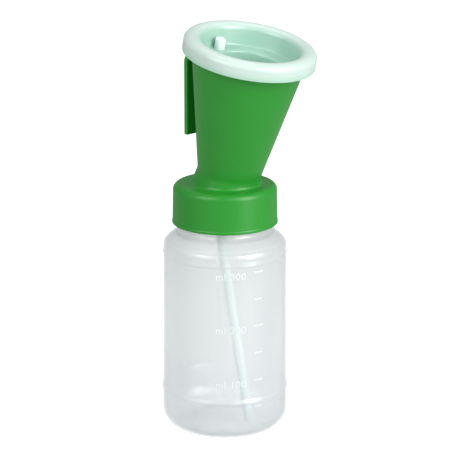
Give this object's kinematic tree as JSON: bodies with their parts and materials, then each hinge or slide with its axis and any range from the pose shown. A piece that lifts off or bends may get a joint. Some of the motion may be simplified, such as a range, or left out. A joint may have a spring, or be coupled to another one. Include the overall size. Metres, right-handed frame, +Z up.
{
  "type": "teat dip cup",
  "caption": "Leaning cone-shaped dip cup with a snap-in white liner and belt hook, screwed onto a round translucent squeeze bottle; a dip tube and delivery tube feed the cup.",
  "frame": {"origin": "centre of the bottle's foot ring, on the plane it stands on", "axes": "+Z up along the bottle's axis, +X the way the cup leans, -X the belt hook's side, Y across"},
  "size_m": [0.0844, 0.0682, 0.2153],
  "materials": {
    "bottle_ldpe": "satin, milky translucent",
    "green_pp": "satin",
    "liner_ldpe": "smooth, slightly translucent",
    "tube_pe": "satin",
    "seal_rubber": "matt"
  },
  "bodies": {
    "bottle": {"bottle": "bottle_ldpe"},
    "seal": {"neck_seal": "seal_rubber"},
    "head": {"cup_body": "green_pp", "delivery_tube": "tube_pe", "dip_tube": "tube_pe"},
    "liner": {"inner_cup": "liner_ldpe"}
  },
  "joints": [
    {"name": "cap_lift", "type": "slide", "parent": "bottle", "child": "seal", "axis": [0, 0, 1], "range_m": [0, 0.0081]},
    {"name": "cap_turn", "type": "hinge", "parent": "seal", "child": "head", "pos_m": [0, 0, 0.12], "axis": [0, 0, 1], "range_deg": [0, 720]},
    {"name": "liner_lift", "type": "slide", "parent": "head", "child": "liner", "axis": [0.2164, 0, 0.9763], "range_m": [0, 0.075]}
  ],
  "couplings": [
    {"joint": "cap_lift", "follows": "cap_turn", "m_per_rad": 0.00063662}
  ]
}
